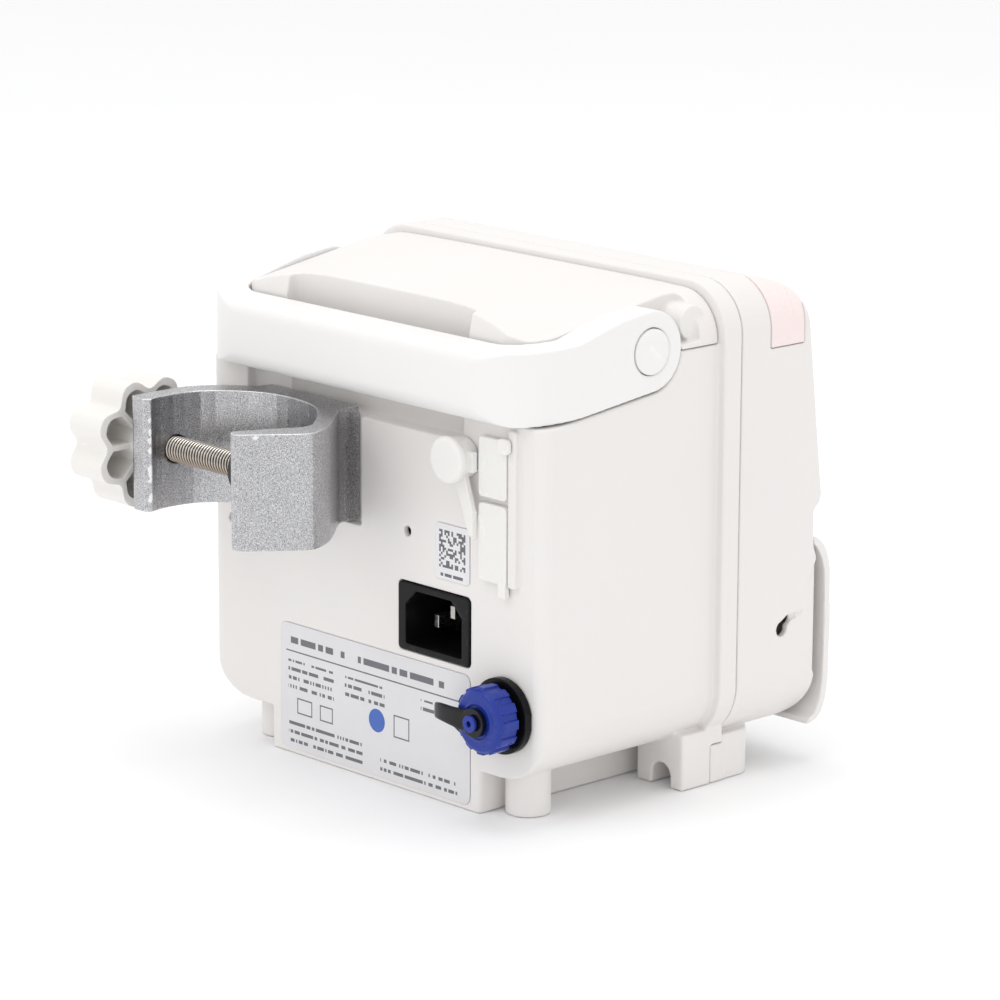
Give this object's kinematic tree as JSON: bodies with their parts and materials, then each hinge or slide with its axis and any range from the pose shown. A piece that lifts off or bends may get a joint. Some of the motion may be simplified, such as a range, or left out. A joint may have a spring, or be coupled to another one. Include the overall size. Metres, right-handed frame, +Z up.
{
  "type": "infusion pump",
  "caption": "Compact drip-line pump in an off-white moulded casing, with a swing-up carrying handle, a hinged front door over the tube channel, and a screw clamp for a pole.",
  "frame": {"origin": "on the floor, in the middle of the casing's width, on the underside of the battery door", "axes": "+Z up; +Y towards the rear (label, inlet, clamp), so the display and the door face -Y; +X towards the clamp's knob"},
  "size_m": [0.1621, 0.1661, 0.1518],
  "materials": {
    "casing_plastic": "fine moulded grain, warm off-white",
    "handle_plastic": "satin, white",
    "soft_cover": "matt silicone, white",
    "light_plastic": "translucent, pale pink",
    "lens_plastic": "polished, near black",
    "lcd_parts": "matt, dark grey",
    "key_grey": "matt, light grey",
    "key_green": "matt, green",
    "key_red": "matt, red",
    "black_plastic": "satin, black",
    "black_rubber": "smooth, glossy, black",
    "pin_metal": "bright nickel plate",
    "cap_plastic": "semi-gloss, blue",
    "port_metal": "bright tin plate",
    "label_film": "semi-gloss film, pale grey",
    "screw_steel": "zinc plate",
    "clamp_aluminium": "blasted, natural",
    "nickel_steel": "nickel plate, bright",
    "pad_rubber": "matt, dark grey",
    "knob_plastic": "satin, white",
    "pack_film": "shrink film, blue",
    "board_laminate": "solder mask, green",
    "speaker_frame": "black",
    "chassis_metal": "die cast, satin",
    "finger_plastic": "natural acetal",
    "motor_metal": "black paint",
    "shaft_metal": "ground, bright"
  },
  "bodies": {
    "casing": {"rear_casing": "casing_plastic", "top_cover": "casing_plastic", "front_casing": "casing_plastic", "battery_door": "casing_plastic", "cover_anchor": "soft_cover", "alarm_light_left": "light_plastic", "alarm_light_right": "light_plastic", "display_lens": "lens_plastic", "lcd_module": "lcd_parts", "air_sensor": "lcd_parts", "mains_inlet": "black_plastic", "connector_flange": "black_plastic", "drive_belt": "black_rubber", "inlet_pin_earth": "pin_metal", "inlet_pin_line": "pin_metal", "inlet_pin_neutral": "pin_metal", "port_shell_upper": "port_metal", "port_shell_lower": "port_metal", "rating_label": "label_film", "code_label": "label_film", "rear_screw_left": "screw_steel", "rear_screw_right": "screw_steel", "foot_screw_left": "screw_steel", "foot_screw_right": "screw_steel", "battery_door_screw": "screw_steel", "pole_clamp_body": "clamp_aluminium", "clamp_fix_screw_lower": "nickel_steel", "clamp_fix_screw_upper": "nickel_steel", "pivot_pin_left": "nickel_steel", "pivot_pin_right": "nickel_steel", "door_hinge_pin": "nickel_steel", "battery_pack": "pack_film", "main_board": "board_laminate", "power_supply_board": "board_laminate", "speaker": "speaker_frame", "pump_chassis": "chassis_metal", "stepper_motor": "motor_metal"},
    "handle": {"handle": "handle_plastic", "pivot_cap_left": "handle_plastic", "pivot_cap_right": "handle_plastic"},
    "door": {"door": "casing_plastic", "platen": "chassis_metal"},
    "latch": {"door_latch": "handle_plastic"},
    "power_key": {"power_key": "key_grey"},
    "menu_key": {"menu_key": "key_grey"},
    "start_key": {"start_key": "key_green"},
    "stop_key": {"stop_key": "key_red"},
    "clamp_pad": {"clamp_pad": "pad_rubber"},
    "clamp_screw": {"clamp_screw": "nickel_steel", "clamp_knob": "knob_plastic"},
    "cap_strap": {"dust_cap_tether": "black_rubber"},
    "dust_cap": {"dust_cap": "cap_plastic"},
    "port_cover_upper": {"port_cover_upper": "soft_cover"},
    "port_cover_lower": {"port_cover_lower": "soft_cover"},
    "camshaft": {"camshaft": "shaft_metal"},
    "motor_pulley": {"motor_pulley": "shaft_metal"},
    "finger_1": {"finger_1": "finger_plastic"},
    "finger_2": {"finger_2": "finger_plastic"},
    "finger_3": {"finger_3": "finger_plastic"},
    "finger_4": {"finger_4": "finger_plastic"}
  },
  "joints": [
    {"name": "handle_swing", "type": "hinge", "parent": "casing", "child": "handle", "pos_m": [0, 0.017, 0.136], "axis": [1, 0, 0], "range_deg": [0, 95]},
    {"name": "door_hinge", "type": "hinge", "parent": "casing", "child": "door", "pos_m": [0, -0.046, 0.0152], "axis": [1, 0, 0], "range_deg": [0, 90]},
    {"name": "door_latch_lift", "type": "slide", "parent": "door", "child": "latch", "axis": [0, 0, 1], "range_m": [0, 0.002], "stiffness_N_per_m": 600},
    {"name": "power_key_press", "type": "slide", "parent": "casing", "child": "power_key", "axis": [0, 0.9931, -0.1175], "range_m": [0, 0.0008], "stiffness_N_per_m": 400},
    {"name": "menu_key_press", "type": "slide", "parent": "casing", "child": "menu_key", "axis": [0, 0.9931, -0.1175], "range_m": [0, 0.0008], "stiffness_N_per_m": 400},
    {"name": "start_key_press", "type": "slide", "parent": "casing", "child": "start_key", "axis": [0, 0.9931, -0.1175], "range_m": [0, 0.0008], "stiffness_N_per_m": 400},
    {"name": "stop_key_press", "type": "slide", "parent": "casing", "child": "stop_key", "axis": [0, 0.9931, -0.1175], "range_m": [0, 0.0008], "stiffness_N_per_m": 400},
    {"name": "clamp_feed", "type": "slide", "parent": "casing", "child": "clamp_pad", "axis": [1, 0, 0], "range_m": [-0.002, 0.03]},
    {"name": "clamp_screw_turn", "type": "hinge", "parent": "clamp_pad", "child": "clamp_screw", "pos_m": [0.05, 0.085, 0.0955], "axis": [1, 0, 0], "continuous": true},
    {"name": "cap_travel", "type": "slide", "parent": "casing", "child": "cap_strap", "axis": [0, 1, 0], "range_m": [0, 0.004]},
    {"name": "cap_turn", "type": "hinge", "parent": "cap_strap", "child": "dust_cap", "pos_m": [-0.0586, 0.066, 0.0325], "axis": [0, 1, 0], "range_deg": [-5, 725]},
    {"name": "upper_cover_open", "type": "hinge", "parent": "casing", "child": "port_cover_upper", "pos_m": [-0.0489, 0.0604, 0.1048], "axis": [0, 0, -1], "range_deg": [0, 95]},
    {"name": "lower_cover_open", "type": "hinge", "parent": "casing", "child": "port_cover_lower", "pos_m": [-0.0489, 0.0604, 0.0827], "axis": [0, 0, -1], "range_deg": [0, 95]},
    {"name": "camshaft_spin", "type": "hinge", "parent": "casing", "child": "camshaft", "pos_m": [0, -0.026, 0.045], "axis": [1, 0, 0], "continuous": true},
    {"name": "motor_spin", "type": "hinge", "parent": "casing", "child": "motor_pulley", "pos_m": [0.03, 0.014, 0.044], "axis": [1, 0, 0], "continuous": true},
    {"name": "finger_1_stroke", "type": "slide", "parent": "casing", "child": "finger_1", "axis": [0, -1, 0], "range_m": [0, 0.0015]},
    {"name": "finger_2_stroke", "type": "slide", "parent": "casing", "child": "finger_2", "axis": [0, -1, 0], "range_m": [0, 0.0015]},
    {"name": "finger_3_stroke", "type": "slide", "parent": "casing", "child": "finger_3", "axis": [0, -1, 0], "range_m": [0, 0.0015]},
    {"name": "finger_4_stroke", "type": "slide", "parent": "casing", "child": "finger_4", "axis": [0, -1, 0], "range_m": [0, 0.0015]}
  ],
  "couplings": [
    {"joint": "clamp_screw_turn", "follows": "clamp_feed", "rad_per_m": 5026.5},
    {"joint": "cap_turn", "follows": "cap_travel", "rad_per_m": 3141.6},
    {"joint": "motor_spin", "follows": "camshaft_spin", "ratio": 1.5833}
  ]
}
